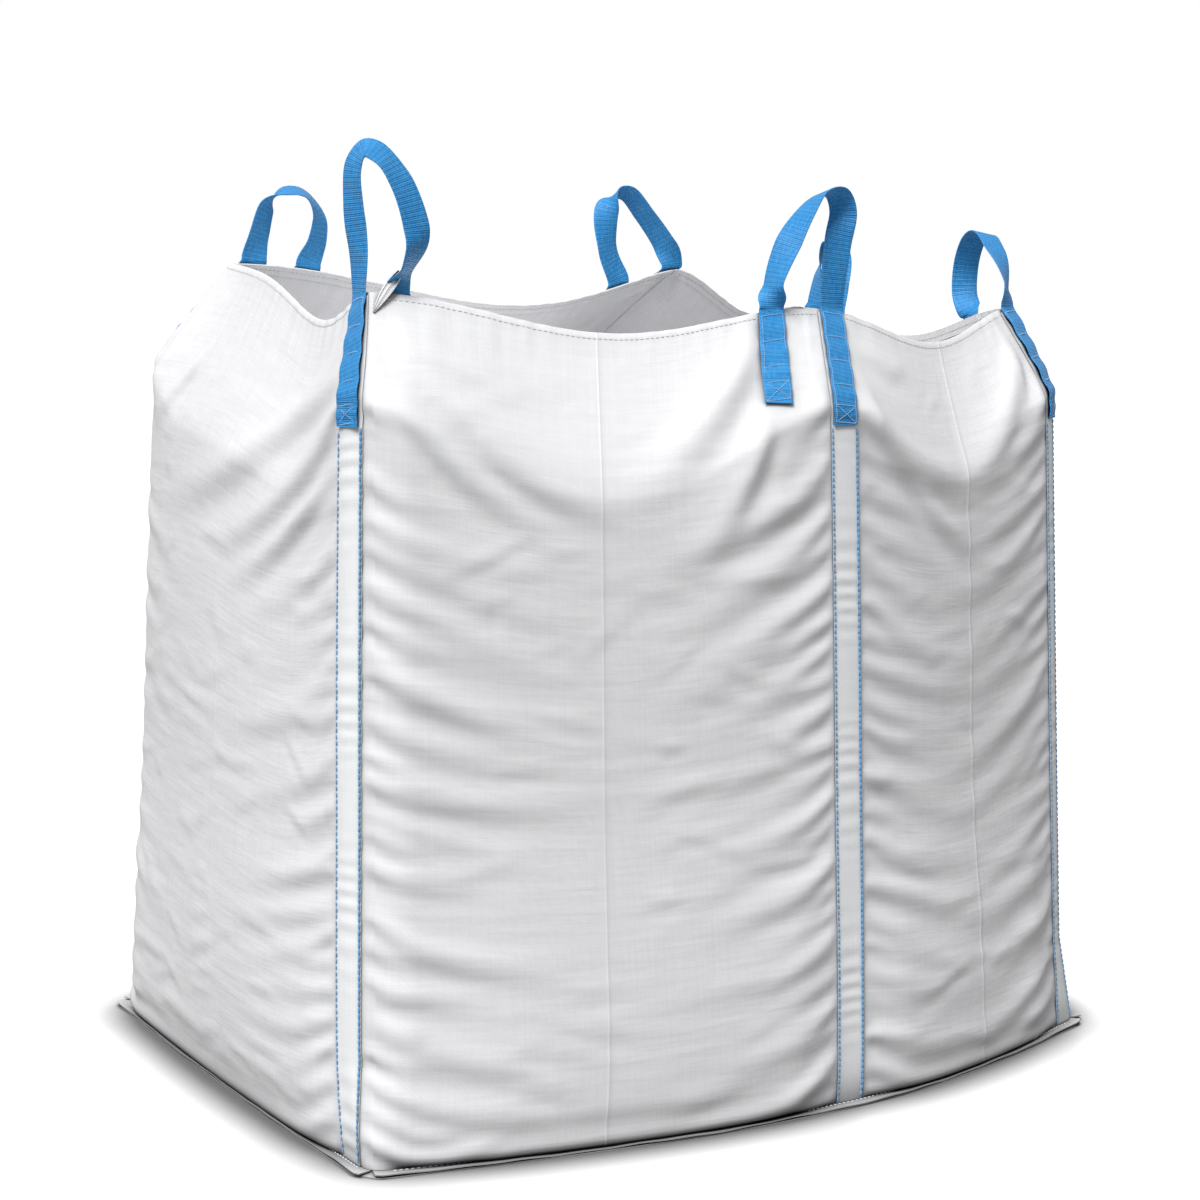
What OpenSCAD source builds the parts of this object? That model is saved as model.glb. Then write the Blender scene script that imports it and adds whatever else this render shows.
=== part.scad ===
// Open-top woven bulk bag (FIBC) with six lifting loops, standing filled out.
// The frame's origin is at the centre of the base, on the floor; X runs along the long side.
// The front long side faces -Y. The corners are NL (-X,-Y), FR (+X,-Y), BR (+X,+Y), FL (-X,+Y);
// FM and BC are the middle loops of the front and of the back.

/* [Body] */
// Length of the body at the base, corner to corner
base_length = 1246; // [1150:1:1300]
// Width of the body at the base, corner to corner
base_width = 878; // [800:1:920]
// How much shorter and narrower the body is at the top than at the base
body_taper = [52, 114]; // [0:1:130]
// How far the body leans sideways at the top, in X and Y
body_sway = [9, -13]; // [-20:1:20]
// Radius of the upright corners when the bag is full
corner_radius = 62; // [40:1:90]
// Share of the height at which the walls start to lean in to the mouth
shoulder_start = 0.86; // [0.7:0.01:0.88]
// Bulge of the front wall at its middle strip
front_bulge = 114; // [60:1:150]
// Bulge of the back wall
back_bulge = 62; // [20:1:100]
// Bulge of the two end walls
end_bulge = 42; // [10:1:80]
// Thickness of a wall with its coating and its woven relief
fabric = 1.5; // [1.2:0.1:2.5]

/* [Mouth] */
// Place of the mouth's near-left corner, X and Y
mouth_nl = [-540, -311];
// Place of the mouth's front-right corner, X and Y
mouth_fr = [575, -305];
// Place of the mouth's back-right corner, X and Y
mouth_br = [585, 255];
// Place of the mouth's far-left corner, X and Y
mouth_fl = [-488, 268];
// How far the front rim bows out at the middle loop
front_rim_bow = 112; // [40:1:140]
// How far the back rim bows out at the middle loop (negative is inward)
back_rim_bow = -78; // [-110:1:60]
// Height of the rim at the loops NL, FM, FR, BR, BC, FL
rim_heights = [1166, 1136, 1126, 1110, 1181, 1196];
// Sag of the rim between those loops
rim_sags = [44, 50, 46, 40, 60, 50];
// Where each sag is lowest: 1 is midway, more is nearer to its second loop
rim_skews = [1, 1, 1, 1, 0.75, 2.1]; // [0.5:0.05:2.5]
// How far the front rim is drawn to the right at the middle loop
front_rim_draw = 40; // [0:1:60]
// Height of the hem folded to the inside of the rim
hem_height = 18; // [12:1:45]

/* [Straps] */
// Width of the lifting webbing
webbing_width = 40; // [30:1:50]
// Thickness of the lifting webbing
webbing_thick = 2.4; // [2:0.1:3.5]
// Heights of the loops NL, FM, FR, BR, BC, FL above the rim
loop_heights = [187, 163, 132, 134, 154, 121];
// How far the tops of those loops lean along the rim, towards the short leg
loop_leans = [14, -32, 23, 24, 20, 19];
// How far each loop swells sideways beyond its two feet (negative draws it in)
loop_swells = [22, 4, 18, 5, 15, 13];
// Distances between the two legs of the loops NL, FM, FR, BR, BC, FL, along the rim
leg_spacings = [62, 102, 144, 60, 106, 86];
// Length of the leg that is sewn over a reinforcement strip
long_leg = 205; // [140:1:240]
// Length of the loop's other sewn leg
short_leg = 155; // [100:1:190]
// Width of the white reinforcement strips
strip_width = 46; // [40:1:60]

/* [Base seam] */
// Width of the seam that stands out round the base
seam_width = 20; // [15:1:30]
// How much further the seam reaches at the four corners
seam_ear = 3; // [0:1:20]

/* [Hidden] */

WHITE = "whitesmoke";
BLUE = "dodgerblue";
THREAD_BLUE = "steelblue";

// The bag's outline is walked once round by u: the front is u 0 to 1, the right end 1 to 2,
// the back 2 to 3 and the left end 3 to 4. t is the share of the rim's height, 0 to 1.
MID_FRONT = 0.57;
MID_BACK = 0.30;
RIM_POWER = 1.2;
STEP = 0.004;
// Length of wall on each side of an upright corner that its rounding takes, at most.
CORNER_ARC = 52;
// Bow of the rim along the two ends, and the radius of the upright corners at the base.
END_BOW = 14;
BASE_RADIUS = 18;

// Levels of the layers, measured outward from the middle of the wall.
GAP = 0.8;
STRIP_THICK = 1.2;
HEM_THICK = 1.2;
THREAD = 1.3;
wall_out = fabric / 2;
strip_in = wall_out + GAP;
strip_out = strip_in + STRIP_THICK;
leg_in = strip_out + GAP;
leg_out = leg_in + webbing_thick;
leg_mid = (leg_in + leg_out) / 2;
hem_out = -wall_out - GAP;
hem_in = hem_out - HEM_THICK;

// Heights of the layers of the base seam.
base_thick = 2;
SEAM_THICK = 1.8;
seam_low = base_thick + GAP;
seam_high = seam_low + SEAM_THICK;
wall_low = seam_high + GAP;

// Clearance between a loop and the rim that it swings over.
HINGE_LIFT = 6;

// ---- shape of the bag ----

function mix(a, b, k) = a * (1 - k) + b * k;
function clamp01(x) = min(1, max(0, x));
function unit(a) = a / norm(a);

// A smooth hump along a wall, 1 at m and 0 at both ends.
function hump(v, m) = v < m ? sin(90 * v / m) : cos(90 * (v - m) / (1 - m));

// A wall seen from above in its own axes: x along the wall, y outward, corners rounded by r.
function rounded_side(v, len, r) =
    let (arc = r * PI / 4, total = len - 2 * r + 2 * arc, d = v * total)
    d < arc ? [-len / 2 + r - r * sin(45 - 45 * d / arc), -r + r * cos(45 - 45 * d / arc)]
    : d > total - arc ? [
        len / 2 - r + r * sin(45 - 45 * (total - d) / arc),
        -r + r * cos(45 - 45 * (total - d) / arc)]
    : [-len / 2 + r + (d - arc), 0];

// Size, corner radius and bulge at height share t.
function length_at(t) = base_length - body_taper[0] * clamp01(t);
function width_at(t) = base_width - body_taper[1] * clamp01(t);
function side_len(side, t) = side % 2 == 0 ? length_at(t) : width_at(t);
function side_off(side, t) = (side % 2 == 0 ? width_at(t) : length_at(t)) / 2;
function radius(t) = mix(BASE_RADIUS, corner_radius, clamp01(t / 0.12));
function belly(t) = sin(180 * pow(clamp01(t), 0.8));
function bulge(side, v, t) =
    side == 0 ? front_bulge * (1 + 0.06 * belly(t)) * hump(v, MID_FRONT)
    : side == 2 ? back_bulge * (0.35 + 0.65 * belly(t)) * hump(v, 0.5)
    : end_bulge * (0.2 + 0.8 * belly(t)) * hump(v, 0.5);

function turn(side, p) =
    side == 0 ? [p[0], -p[1]]
    : side == 1 ? [p[1], p[0]]
    : side == 2 ? [-p[0], p[1]]
    : [-p[1], -p[0]];
function body_at(side, v, t) =
    let (p = rounded_side(v, side_len(side, t), radius(t)))
    turn(side, [p[0], p[1] + side_off(side, t) + bulge(side, v, t)]) + body_sway * clamp01(t);

CORNERS = [mouth_nl, mouth_fr, mouth_br, mouth_fl, mouth_nl];
function rim_at(side, v) =
    let (a = CORNERS[side], b = CORNERS[side + 1], dir = unit(b - a),
        bow = side == 0 ? front_rim_bow * hump(v, MID_FRONT)
            : side == 2 ? back_rim_bow * hump(v, MID_BACK)
            : END_BOW * hump(v, 0.5),
        draw = side == 0 ? front_rim_draw * hump(v, MID_FRONT) : 0)
    mix(a, b, v) + bow * [dir[1], -dir[0]] + draw * dir;

// Height of the rim: a flat peak at each loop and a sag between.
RIM_U = [0, MID_FRONT - 0.03, 1, 2, 2 + MID_BACK - 0.01, 3, 4];
function rim_row(u) =
    u < RIM_U[1] ? 0 : u < 1 ? 1 : u < 2 ? 2 : u < RIM_U[4] ? 3 : u < 3 ? 4 : 5;
function rim_z(u) =
    let (i = rim_row(u), q = (u - RIM_U[i]) / (RIM_U[i + 1] - RIM_U[i]),
        dip = sin(180 * pow(q, rim_skews[i])))
    mix(rim_heights[i], rim_heights[(i + 1) % 6], q) - rim_sags[i] * dip * dip;

function wrap(u) = u < 0 ? u + 4 : u >= 4 ? u - 4 : u;
function lean(t) = pow(clamp01((t - shoulder_start) / (1 - shoulder_start)), RIM_POWER);

// Middle surface of the wall.
function wall_point(u0, t) =
    let (u = wrap(u0), side = floor(u), v = u - side,
        p = mix(body_at(side, v, t), rim_at(side, v), lean(t)))
    [p[0], p[1], wall_low + t * (rim_z(u) - wall_low)];
function speed(u, t) = norm(wall_point(u + STEP, t) - wall_point(u - STEP, t)) / (2 * STEP);
function outward(u, t) =
    let (a = wall_point(u + STEP, t) - wall_point(u - STEP, t),
        b = wall_point(u, min(1, t + STEP)) - wall_point(u, max(0, t - STEP)))
    unit(cross(a, b));
// All layers share these rows and are straight between them, so that they lie flat on each other.
ROWS_T = concat([0, 0.06, 0.12], [for (i = [1 : 6]) mix(0.12, shoulder_start, i / 7)],
    [for (i = [0 : 4]) mix(shoulder_start, 1, i / 4)]);
function row_of(t, i = 0) = i >= len(ROWS_T) - 2 || t < ROWS_T[i + 1] ? i : row_of(t, i + 1);
// A point on a row: mm sideways from u and d outward from the middle of the wall.
function row_point(u, mm, t, d) =
    let (v = u + mm / speed(u, t)) wall_point(v, t) + d * outward(v, t);
function beside(u, mm, t, d) =
    let (i = row_of(t), a = ROWS_T[i], b = ROWS_T[i + 1])
    mix(row_point(u, mm, a, d), row_point(u, mm, b, d), (t - a) / (b - a));
function skin(u, t, d) = beside(u, 0, t, d);
// Share of the height that is mm below the rim.
function below(u, mm) = 1 - mm / norm(wall_point(u, 1) - wall_point(u, 0.9)) * 0.1;

// ---- places of the loops' legs ----

// Each strip stands under its loop's long leg. The short leg is leg_spacing away, and the two
// short legs of a pair face each other. NL's short leg is sewn to the inside of the front wall.
function along(u, mm) = mm / speed(u, 1);
CORNER_REACH = 26;
NL = 3.952;
FM = MID_FRONT;
FR = 0.979;
BR = 1.954;
BC = 2 + MID_BACK;
FL = 2.967;
U_LONG = [NL, FM, FR, BR, BC, FL];
U_SHORT = [
    along(0.1, leg_spacings[0] - CORNER_REACH),
    FM - along(FM, leg_spacings[1]),
    1 + along(1.1, leg_spacings[2] - CORNER_REACH),
    BR - along(1.9, leg_spacings[3]),
    BC + along(2.4, leg_spacings[4]),
    FL - along(2.9, leg_spacings[5])
];

// ---- solids from grids of points ----

// A closed solid between an outer and an inner grid of points, each a list of rows.
module grid_solid(outer, inner) {
    rows = len(outer);
    cols = len(outer[0]);
    n = rows * cols;
    points = concat([for (r = outer) for (p = r) p], [for (r = inner) for (p = r) p]);
    function at(i, j) = i * cols + j;
    quads = concat(
        [for (i = [0 : rows - 2]) for (j = [0 : cols - 2])
            [at(i, j), at(i + 1, j), at(i + 1, j + 1), at(i, j + 1)]],
        [for (i = [0 : rows - 2]) for (j = [0 : cols - 2])
            [n + at(i, j), n + at(i, j + 1), n + at(i + 1, j + 1), n + at(i + 1, j)]],
        [for (j = [0 : cols - 2]) [at(0, j), at(0, j + 1), n + at(0, j + 1), n + at(0, j)]],
        [for (j = [0 : cols - 2])
            [at(rows - 1, j + 1), at(rows - 1, j), n + at(rows - 1, j), n + at(rows - 1, j + 1)]],
        [for (i = [0 : rows - 2]) [at(i + 1, 0), at(i, 0), n + at(i, 0), n + at(i + 1, 0)]],
        [for (i = [0 : rows - 2])
            [at(i, cols - 1), at(i + 1, cols - 1), n + at(i + 1, cols - 1), n + at(i, cols - 1)]]);
    faces = [for (q = quads) for (k = [0, 1]) k == 0 ? [q[0], q[1], q[2]] : [q[0], q[2], q[3]]];
    polyhedron(points, faces, convexity = 6);
}

// Columns of one wall, as shares of its length, closer round the corners.
function wall_cols(side) =
    let (a = CORNER_ARC / side_len(side, 0.5), n = side % 2 == 0 ? 18 : 11)
    concat([for (i = [0 : 5]) a * i / 5], [for (i = [1 : n - 1]) mix(a, 1 - a, i / n)],
        [for (i = [5 : -1 : 0]) 1 - a * i / 5]);
// The values of a rising list that lie between a and b, with a and b at its ends.
function between(list, a, b) =
    concat([a], [for (x = list) if (x > a + 0.002 && x < b - 0.002) x], [b]);

// A patch of one wall between the heights t0 and t1, short of the wall's two ends by end.
module patch(side, end, t0, t1, d_in, d_out) {
    function layer(d) = [for (t = between(ROWS_T, t0, t1))
        [for (v = between(wall_cols(side), end, 1 - end)) skin(side + v, t, d)]];
    grid_solid(layer(d_out), layer(d_in));
}

// An upright band of one width, centred on u.
module band(u, width, t0, t1, d_in, d_out, cols) {
    function layer(d) = [for (t = between(ROWS_T, t0, t1))
        [for (j = [0 : cols]) beside(u, mix(-width / 2, width / 2, j / cols), t, d)]];
    grid_solid(layer(d_out), layer(d_in));
}
// Bands near a corner of the bag bend round it.
function band_cols(u) = abs(u - round(u)) < 0.1 ? 6 : 2;

// A thread across a leg, from -half to half beside u and y below the rim.
module thread_row(u, half, y, d_in, d_out) {
    n = band_cols(u);
    xs = between([for (j = [0 : n]) mix(-webbing_width / 2, webbing_width / 2, j / n)], -half, half);
    function layer(d) = [for (z = [y + THREAD / 2, y - THREAD / 2])
        [for (x = xs) beside(u, x, below(u, z), d)]];
    grid_solid(layer(d_out), layer(d_in));
}

// ---- parts ----

// Edge of the base seam seen from above: reach outward from the wall, and further at the ears,
// which take EAR_SHARE of the wall at each end.
SEAM_COLS = [26, 16, 26, 16];
EAR_SHARE = 1 / 14;
EAR_FLARE = 0.25;
function ear(v, power) =
    pow(clamp01(1 - v / EAR_SHARE), power) + pow(clamp01(1 - (1 - v) / EAR_SHARE), power);
function seam_edge(side, v, reach, ear_reach) =
    body_at(side, v, 0) + turn(side, [0, reach])
        + ear_reach * ear(v, 1.5) * unit(turn(side, [2 * v - 1, 0.8]))
        + EAR_FLARE * reach * ear(v, 1) * turn(side, [v < 0.5 ? -1 : 1, 0]);

module base_panel() color(WHITE)
    linear_extrude(base_thick)
        polygon([for (s = [0 : 3]) for (j = [0 : SEAM_COLS[s] - 1])
            seam_edge(s, j / SEAM_COLS[s], seam_width, seam_ear)]);

module base_seam(side) {
    cols = SEAM_COLS[side];
    inner = 0.8 / (side % 2 == 0 ? base_length : base_width);
    function rows(z) = [for (r = [-wall_out, seam_width]) [for (j = [0 : cols])
        let (v = mix(inner, 1 - inner, j / cols), p = seam_edge(side, v, r, r > 0 ? seam_ear : 0))
        [p[0], p[1], z]]];
    color(WHITE) grid_solid(rows(seam_low), rows(seam_high));
}

CORNER_SEAM = 0.0004;
module wall(side) color(WHITE) patch(side, CORNER_SEAM, 0, 1, -wall_out, wall_out);

HEM_END = 0.004;
module hem(side) color(WHITE)
    patch(side, HEM_END, below(side + 0.5, hem_height), 1, hem_in, hem_out);

module strip(i) color(WHITE)
    band(U_LONG[i], strip_width, 0, 1, strip_in, strip_out, band_cols(U_LONG[i]));

// The legs lie over the strip, level with each other. NL's short leg is inside, over the hem.
INSIDE_OUT = hem_in - THREAD - GAP;
function inside_leg(i) = i == 0;
function short_in(i) = inside_leg(i) ? INSIDE_OUT - webbing_thick : leg_in;
function short_out(i) = inside_leg(i) ? INSIDE_OUT : leg_out;
module sewn_leg(u, length, d_in, d_out) color(BLUE)
    band(u, webbing_width, below(u, length), 1, d_in, d_out, band_cols(u));

// A loop: one swept piece of webbing that turns its flat side as it rises, from the long leg's
// top to the short leg's top, on the line on which it hinges.
LOOP_RINGS = 26;
function foot(i, long) =
    let (u = long ? U_LONG[i] : U_SHORT[i], d = long ? leg_mid : (short_in(i) + short_out(i)) / 2)
    skin(u, 1, d) + [0, 0, HINGE_LIFT];
function loop_flat(a, b) = unit([b[0] - a[0], b[1] - a[1], 0]);
// Middle line of the loop at k from 0, the long leg's top, to 1, the short leg's top.
function loop_rise(k) = pow(sin(180 * k), 0.62);
function loop_mid(i, k) =
    let (a = foot(i, true), b = foot(i, false),
        shift = loop_leans[i] * loop_rise(k) - loop_swells[i] * sin(360 * k))
    mix(a, b, 0.5 - 0.5 * cos(180 * k)) + shift * loop_flat(a, b)
        + [0, 0, loop_heights[i] * loop_rise(k)];
function loop_side(i, k) =
    let (a = foot(i, true), b = foot(i, false), f = loop_flat(a, b), o = cross([0, 0, 1], f),
        q = 90 * pow(sin(180 * clamp01(k)), 0.8), s = k < 0.5 ? 1 : -1)
    unit(f * cos(q) * s + o * sin(q));
module loop(i) {
    function frame_at(k) =
        let (t = unit(loop_mid(i, min(1, k + 0.005)) - loop_mid(i, max(0, k - 0.005))),
            w0 = loop_side(i, k), w = unit(w0 - t * (w0 * t)), n = cross(t, w))
        [loop_mid(i, k), w * webbing_width / 2, n * webbing_thick / 2];
    rings = [for (j = [0 : LOOP_RINGS]) frame_at(0.5 - 0.5 * cos(180 * j / LOOP_RINGS))];
    color(BLUE) grid_solid(
        [for (r = rings) [r[0] + r[1] + r[2], r[0] - r[1] + r[2]]],
        [for (r = rings) [r[0] + r[1] - r[2], r[0] - r[1] - r[2]]]);
}

// Two lines of chain stitch down a strip, from just below the leg to just above the base.
STITCH_INSET = 4;
STITCH_START = 6;
THREAD_GAP = 0.3;
module strip_thread(i) color(THREAD_BLUE)
    for (s = [-1, 1])
        band_line(U_LONG[i], s * (strip_width / 2 - STITCH_INSET), 0.01,
            below(U_LONG[i], long_leg + STITCH_START), strip_out + THREAD_GAP);
module band_line(u, x, t0, t1, d) {
    function layer(d) = [for (t = between(ROWS_T, t0, t1))
        [for (s = [-1, 1]) beside(u, x + s * THREAD / 2, t, d)]];
    grid_solid(layer(d + THREAD), layer(d));
}

// Stitching of one leg: rows across it from HEM_STITCH below the rim, and two closer rows at its
// end that stand for the sewn box.
CROSS_PITCH = 42;
BOX_SIZE = 30;
HEM_STITCH = 9;
module leg_stitches(u, length, out) {
    half = webbing_width / 2 - STITCH_INSET;
    near = out + sign(out) * THREAD_GAP;
    far = near + sign(out) * THREAD;
    d = [min(near, far), max(near, far)];
    top = length - BOX_SIZE - 5;
    rows = floor((top - 2 * HEM_STITCH) / CROSS_PITCH);
    for (y = concat([for (r = [0 : rows]) HEM_STITCH + r * CROSS_PITCH], [top, top + BOX_SIZE]))
        thread_row(u, half, y, d[0], d[1]);
}
module leg_thread(i) color(THREAD_BLUE) {
    leg_stitches(U_LONG[i], long_leg, leg_out);
    leg_stitches(U_SHORT[i], short_leg, inside_leg(i) ? short_in(i) : leg_out);
}

// The hem's thread runs round the inside of the hem.
THREAD_END = 0.01;
module hem_thread() color(WHITE)
    for (side = [0 : 3])
        patch(side, THREAD_END, below(side + 0.5, HEM_STITCH), below(side + 0.5, HEM_STITCH - THREAD),
            hem_in - THREAD, hem_in - THREAD_GAP);

// The base's thread runs round the seam, short of the four corners.
BASE_STITCH = 7;
module base_thread() {
    function rows(side, z) = [for (r = [BASE_STITCH, BASE_STITCH + THREAD])
        [for (j = [0 : SEAM_COLS[side]])
            let (v = mix(0.03, 0.97, j / SEAM_COLS[side]), p = seam_edge(side, v, r, 0))
            [p[0], p[1], z]]];
    color(WHITE) for (side = [0 : 3])
        grid_solid(rows(side, seam_high), rows(side, seam_high + THREAD));
}

base_panel();
wall(0);  // front_panel
wall(1);  // right_panel
wall(2);  // back_panel
wall(3);  // left_panel
base_seam(0);  // front_base_seam
base_seam(1);  // right_base_seam
base_seam(2);  // back_base_seam
base_seam(3);  // left_base_seam
hem(0);  // front_hem
hem(1);  // right_hem
hem(2);  // back_hem
hem(3);  // left_hem
strip(0);  // strip_nl
strip(1);  // strip_fm
strip(2);  // strip_fr
strip(3);  // strip_br
strip(4);  // strip_bc
strip(5);  // strip_fl
sewn_leg(U_LONG[0], long_leg, leg_in, leg_out);  // long_leg_nl
sewn_leg(U_LONG[1], long_leg, leg_in, leg_out);  // long_leg_fm
sewn_leg(U_LONG[2], long_leg, leg_in, leg_out);  // long_leg_fr
sewn_leg(U_LONG[3], long_leg, leg_in, leg_out);  // long_leg_br
sewn_leg(U_LONG[4], long_leg, leg_in, leg_out);  // long_leg_bc
sewn_leg(U_LONG[5], long_leg, leg_in, leg_out);  // long_leg_fl
sewn_leg(U_SHORT[0], short_leg, short_in(0), short_out(0));  // short_leg_nl
sewn_leg(U_SHORT[1], short_leg, short_in(1), short_out(1));  // short_leg_fm
sewn_leg(U_SHORT[2], short_leg, short_in(2), short_out(2));  // short_leg_fr
sewn_leg(U_SHORT[3], short_leg, short_in(3), short_out(3));  // short_leg_br
sewn_leg(U_SHORT[4], short_leg, short_in(4), short_out(4));  // short_leg_bc
sewn_leg(U_SHORT[5], short_leg, short_in(5), short_out(5));  // short_leg_fl
loop(0);  // loop_nl
loop(1);  // loop_fm
loop(2);  // loop_fr
loop(3);  // loop_br
loop(4);  // loop_bc
loop(5);  // loop_fl
strip_thread(0);  // strip_thread_nl
strip_thread(1);  // strip_thread_fm
strip_thread(2);  // strip_thread_fr
strip_thread(3);  // strip_thread_br
strip_thread(4);  // strip_thread_bc
strip_thread(5);  // strip_thread_fl
leg_thread(0);  // leg_thread_nl
leg_thread(1);  // leg_thread_fm
leg_thread(2);  // leg_thread_fr
leg_thread(3);  // leg_thread_br
leg_thread(4);  // leg_thread_bc
leg_thread(5);  // leg_thread_fl
hem_thread();
base_thread();
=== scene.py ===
import math

import bpy
import numpy as np
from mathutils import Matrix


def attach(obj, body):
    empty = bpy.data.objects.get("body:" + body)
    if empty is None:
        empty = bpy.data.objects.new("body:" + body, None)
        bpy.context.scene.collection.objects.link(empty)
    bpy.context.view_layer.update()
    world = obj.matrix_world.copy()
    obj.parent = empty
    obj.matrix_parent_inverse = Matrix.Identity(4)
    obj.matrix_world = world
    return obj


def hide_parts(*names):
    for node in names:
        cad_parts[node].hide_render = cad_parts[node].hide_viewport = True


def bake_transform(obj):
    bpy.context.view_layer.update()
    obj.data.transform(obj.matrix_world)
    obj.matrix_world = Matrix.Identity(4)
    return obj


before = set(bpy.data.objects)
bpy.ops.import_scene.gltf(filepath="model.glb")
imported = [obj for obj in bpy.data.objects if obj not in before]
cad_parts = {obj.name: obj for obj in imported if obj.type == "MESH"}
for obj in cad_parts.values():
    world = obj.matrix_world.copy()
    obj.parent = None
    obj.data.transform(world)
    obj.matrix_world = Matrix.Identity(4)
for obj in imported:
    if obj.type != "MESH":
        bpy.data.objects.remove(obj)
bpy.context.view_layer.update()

# ---- sizes and shape of part.scad, in mm; meshes are scaled to metres when they are made ----
BASE_LENGTH, BASE_WIDTH, TAPER, SWAY = 1246, 878, (52, 114), (9, -13)
CORNER_RADIUS, BASE_RADIUS, FRONT_BULGE, BACK_BULGE, END_BULGE, END_BOW = 62, 18, 114, 62, 42, 14
MOUTH = np.array([[-540, -311], [575, -305], [585, 255], [-488, 268]], float)
FRONT_BOW, FRONT_DRAW, BACK_BOW, MID_FRONT, MID_BACK = 112, 40, -78, 0.57, 0.30
RIM_HEIGHTS = np.array([1166, 1136, 1126, 1110, 1181, 1196], float)
RIM_SAGS = np.array([44, 50, 46, 40, 60, 50], float)
RIM_SKEWS = np.array([1, 1, 1, 1, 0.75, 2.1])
RIM_U = np.array([0, MID_FRONT - 0.03, 1, 2, 2 + MID_BACK - 0.01, 3, 4])
WEB_WIDTH, WEB_THICK, STRIP_WIDTH, LONG_LEG, SHORT_LEG = 40, 2.4, 46, 205, 155
LOOP_NAMES = ["nl", "fm", "fr", "br", "bc", "fl"]
LEG_SPACINGS = [62, 102, 144, 60, 106, 86]
SEAM_WIDTH, WALL_LOW, CORNER_REACH = 20, 5.4, 26
HEM_HEIGHT, HEM_STITCH, CROSS_PITCH, BOX_SIZE = 18, 9, 42, 30
SKIN = 0.6        # half the thickness of a wall
STRIP_OUT = 2.75  # outer face of a strip, from the middle of the wall
LEG_MID, INSIDE_MID = 4.75, 6.05
HINGE_LIFT = 6    # the loops swing this far above the rim
RIM_SHARE = 0.1   # share of the height, just under the rim, that wall lengths are measured on
rng = np.random.default_rng(11)


def mix(a, b, k):
    """From a to b by the share k."""
    return a * (1 - k) + b * k


def unit(a):
    """Vectors of length 1."""
    return a / np.maximum(np.linalg.norm(a, axis=-1, keepdims=True), 1e-9)


def hump(v, m):
    """Rises from 0 to 1 at m, and falls back to 0 at 1."""
    return np.where(v < m, np.sin(math.pi / 2 * v / m), np.cos(math.pi / 2 * (v - m) / (1 - m)))


def smooth(x):
    """A soft step from 0 to 1."""
    x = np.clip(x, 0, 1)
    return x * x * (3 - 2 * x)


# ---- the wall's shape: u walks round (front 0-1, right 1-2, back 2-3, left 3-4), t is the height share
TURN = np.array([[1, 0, 0, -1], [0, 1, 1, 0], [-1, 0, 0, 1], [0, -1, -1, 0]], float)


def body_at(side, v, t):
    """Outline of the filled bag at height share t: a rounded rectangle with bowed sides, from above."""
    long_side = side % 2 == 0
    length, width = BASE_LENGTH - TAPER[0] * t, BASE_WIDTH - TAPER[1] * t
    span = np.where(long_side, length, width)
    off = np.where(long_side, width, length) / 2
    r = mix(BASE_RADIUS, CORNER_RADIUS, np.clip(t / 0.12, 0, 1))
    arc = r * math.pi / 4
    total = span - 2 * r + 2 * arc
    d = v * total
    left, right = d < arc, d > total - arc
    a = np.where(left, math.pi / 4 * (1 - d / arc), math.pi / 4 * (1 - (total - d) / arc))
    x = np.where(left, -span / 2 + r - r * np.sin(a), -span / 2 + r + d - arc)
    x = np.where(right, span / 2 - r + r * np.sin(a), x)
    y = np.where(left | right, -r + r * np.cos(a), 0)
    belly = np.sin(math.pi * np.clip(t, 0, 1) ** 0.8)
    bulge = np.where(side == 0, FRONT_BULGE * (1 + 0.06 * belly) * hump(v, MID_FRONT),
                     END_BULGE * (0.2 + 0.8 * belly) * hump(v, 0.5))
    bulge = np.where(side == 2, BACK_BULGE * (0.35 + 0.65 * belly) * hump(v, 0.5), bulge)
    y = y + off + bulge
    m = TURN[side]
    return np.stack([m[..., 0] * x + m[..., 1] * y + SWAY[0] * t,
                     m[..., 2] * x + m[..., 3] * y + SWAY[1] * t], -1)


def rim_at(side, v):
    """Line of the mouth, from above."""
    a, b = MOUTH[side], MOUTH[(side + 1) % 4]
    d = unit(b - a)
    bow = np.where(side == 0, FRONT_BOW * hump(v, MID_FRONT), END_BOW * hump(v, 0.5))
    bow = np.where(side == 2, BACK_BOW * hump(v, MID_BACK), bow)
    draw = np.where(side == 0, FRONT_DRAW * hump(v, MID_FRONT), 0)
    outward = np.stack([d[..., 1], -d[..., 0]], -1)
    return mix(a, b, v[..., None]) + bow[..., None] * outward + draw[..., None] * d


def rim_z(u):
    """Height of the rim, which sags between the loops."""
    i = np.clip(np.searchsorted(RIM_U, u, side="right") - 1, 0, 5)
    q = (u - RIM_U[i]) / (RIM_U[i + 1] - RIM_U[i])
    return mix(RIM_HEIGHTS[i], RIM_HEIGHTS[(i + 1) % 6], q) \
        - RIM_SAGS[i] * np.sin(math.pi * q ** RIM_SKEWS[i]) ** 2


U_STRIP = np.array([3.952, MID_FRONT, 0.979, 1.954, 2 + MID_BACK, 2.967])


def shoulder(u):
    """Where the wall starts to lean in: high under a loop, which holds the wall up, low between."""
    away = np.min(np.abs((u[..., None] - U_STRIP + 2) % 4 - 2), -1)
    return 0.885 - 0.075 * smooth(away / 0.26)


def wall_point(u, t):
    """The middle of the wall before it settles, in mm."""
    u = np.mod(u, 4.0)
    side = np.minimum(u.astype(int), 3)
    v = u - side
    s = shoulder(u)
    lean = np.clip((t - s) / (1 - s), 0, 1) ** 1.2
    p = mix(body_at(side, v, t), rim_at(side, v), lean[..., None])
    return np.concatenate([p, (WALL_LOW + t * (rim_z(u) - WALL_LOW))[..., None]], -1)


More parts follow.
